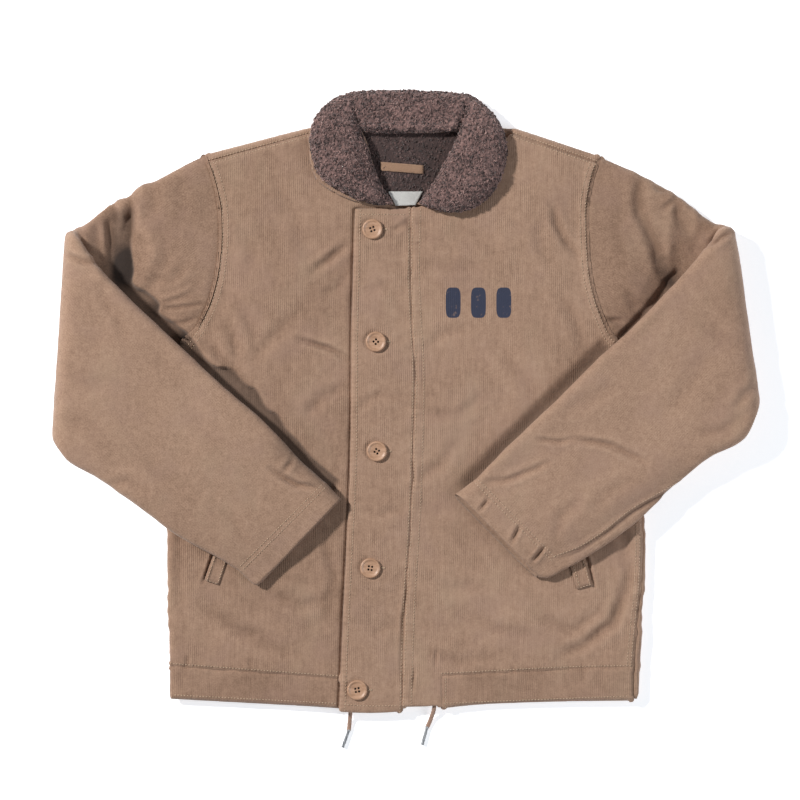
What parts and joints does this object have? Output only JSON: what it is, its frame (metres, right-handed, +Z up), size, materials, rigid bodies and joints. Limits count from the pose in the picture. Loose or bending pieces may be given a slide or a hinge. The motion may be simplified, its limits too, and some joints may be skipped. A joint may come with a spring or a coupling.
{
  "type": "deck jacket",
  "caption": "Pile-collared, button-front deck jacket laid flat on its back, sleeves folded across the front, drawcord ends out of the hem.",
  "frame": {"origin": "middle of the jacket's outline, on the surface that it lies on", "axes": "+X to the wearer's left, +Y from the hem to the collar, +Z up out of the front; it lies on its back"},
  "size_m": [0.8116, 0.7573, 0.043],
  "materials": {
    "shell_cloth": "ribbed cotton jungle cloth, matt, khaki brown",
    "pile": "short curly wool pile, grey brown",
    "label_cloth": "plain woven tape, off white",
    "button": "satin tan, raised rim",
    "cord": "flat woven braid, dark brown",
    "aglet": "plain bright metal sleeve"
  },
  "bodies": {
    "root": {"back": "shell_cloth", "front_right": "shell_cloth", "front_left": "shell_cloth", "fly": "shell_cloth", "hem_channel_right": "shell_cloth", "hem_channel_left": "shell_cloth", "sleeve_right": "shell_cloth", "sleeve_left": "shell_cloth", "collar": "pile", "undercollar": "shell_cloth", "neck_lining": "pile", "hanger_loop": "shell_cloth", "neck_label": "label_cloth", "pocket_welt_right": "shell_cloth", "pocket_welt_left": "shell_cloth", "button_1": "button", "button_2": "button", "button_3": "button", "button_4": "button", "button_5": "button", "drawcord_right": "cord", "drawcord_left": "cord", "aglet_right": "aglet", "aglet_left": "aglet"}
  },
  "joints": []
}
